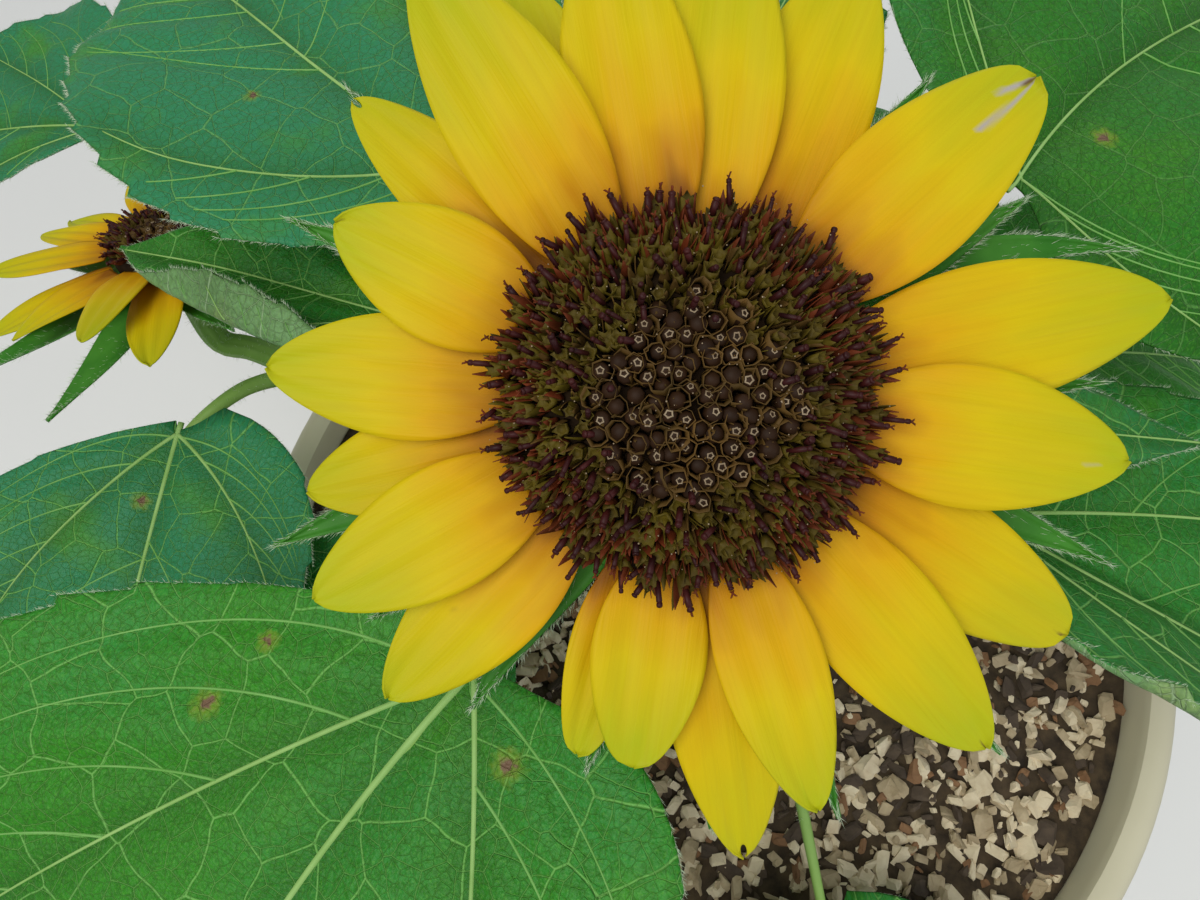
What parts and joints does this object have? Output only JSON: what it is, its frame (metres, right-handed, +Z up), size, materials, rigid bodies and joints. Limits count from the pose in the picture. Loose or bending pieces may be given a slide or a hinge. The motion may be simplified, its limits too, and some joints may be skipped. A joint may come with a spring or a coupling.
{
  "type": "potted sunflower plant",
  "caption": "Sunflower in a round pot of bark mix, with a large open bloom, a smaller bloom on a side branch, and broad toothed leaves on long stalks.",
  "frame": {"origin": "centre of the pot's flat underside", "axes": "+Z up, -Y the side that the large bloom faces, +X to the right seen from there"},
  "size_m": [0.4395, 0.3971, 0.4353],
  "materials": {
    "pot": "matt beige, slightly weathered",
    "potting_mix": "loose damp bark chips",
    "stem": "ribbed and hairy",
    "leaf": "rough, veined and finely hairy",
    "petal": "soft, with fine lengthwise ridges",
    "disk": "dense florets",
    "bract": "hairy"
  },
  "bodies": {
    "root": {"pot": "pot", "potting_mix": "potting_mix", "main_stem": "stem", "side_branch": "stem", "leaf_front_left": "leaf", "leaf_back_left": "leaf", "leaf_back_right": "leaf", "leaf_front_right": "leaf", "leaf_curled": "leaf", "leaf_small": "leaf", "leaf_low_right": "leaf", "leaf_low_front": "leaf", "leaf_back": "leaf", "leaf_low_back": "leaf", "leaf_low_left": "leaf", "side_leaf_front": "leaf", "side_leaf_left": "leaf", "side_leaf_back": "leaf", "head_calyx": "bract", "head_disk": "disk", "head_petal_01": "petal", "head_petal_02": "petal", "head_petal_03": "petal", "head_petal_04": "petal", "head_petal_05": "petal", "head_petal_06": "petal", "head_petal_07": "petal", "head_petal_08": "petal", "head_petal_09": "petal", "head_petal_10": "petal", "head_petal_11": "petal", "head_petal_12": "petal", "head_petal_13": "petal", "head_petal_14": "petal", "head_petal_15": "petal", "head_petal_16": "petal", "head_petal_17": "petal", "head_petal_18": "petal", "head_petal_19": "petal", "head_petal_20": "petal", "side_head_calyx": "bract", "side_head_disk": "disk", "side_head_petal_01": "petal", "side_head_petal_02": "petal", "side_head_petal_03": "petal", "side_head_petal_04": "petal", "side_head_petal_05": "petal", "side_head_petal_06": "petal", "side_head_petal_07": "petal", "side_head_petal_08": "petal", "side_head_petal_09": "petal", "side_head_petal_10": "petal", "side_head_petal_11": "petal", "side_head_petal_12": "petal", "side_head_petal_13": "petal", "side_head_petal_14": "petal", "side_head_petal_15": "petal"}
  },
  "joints": []
}
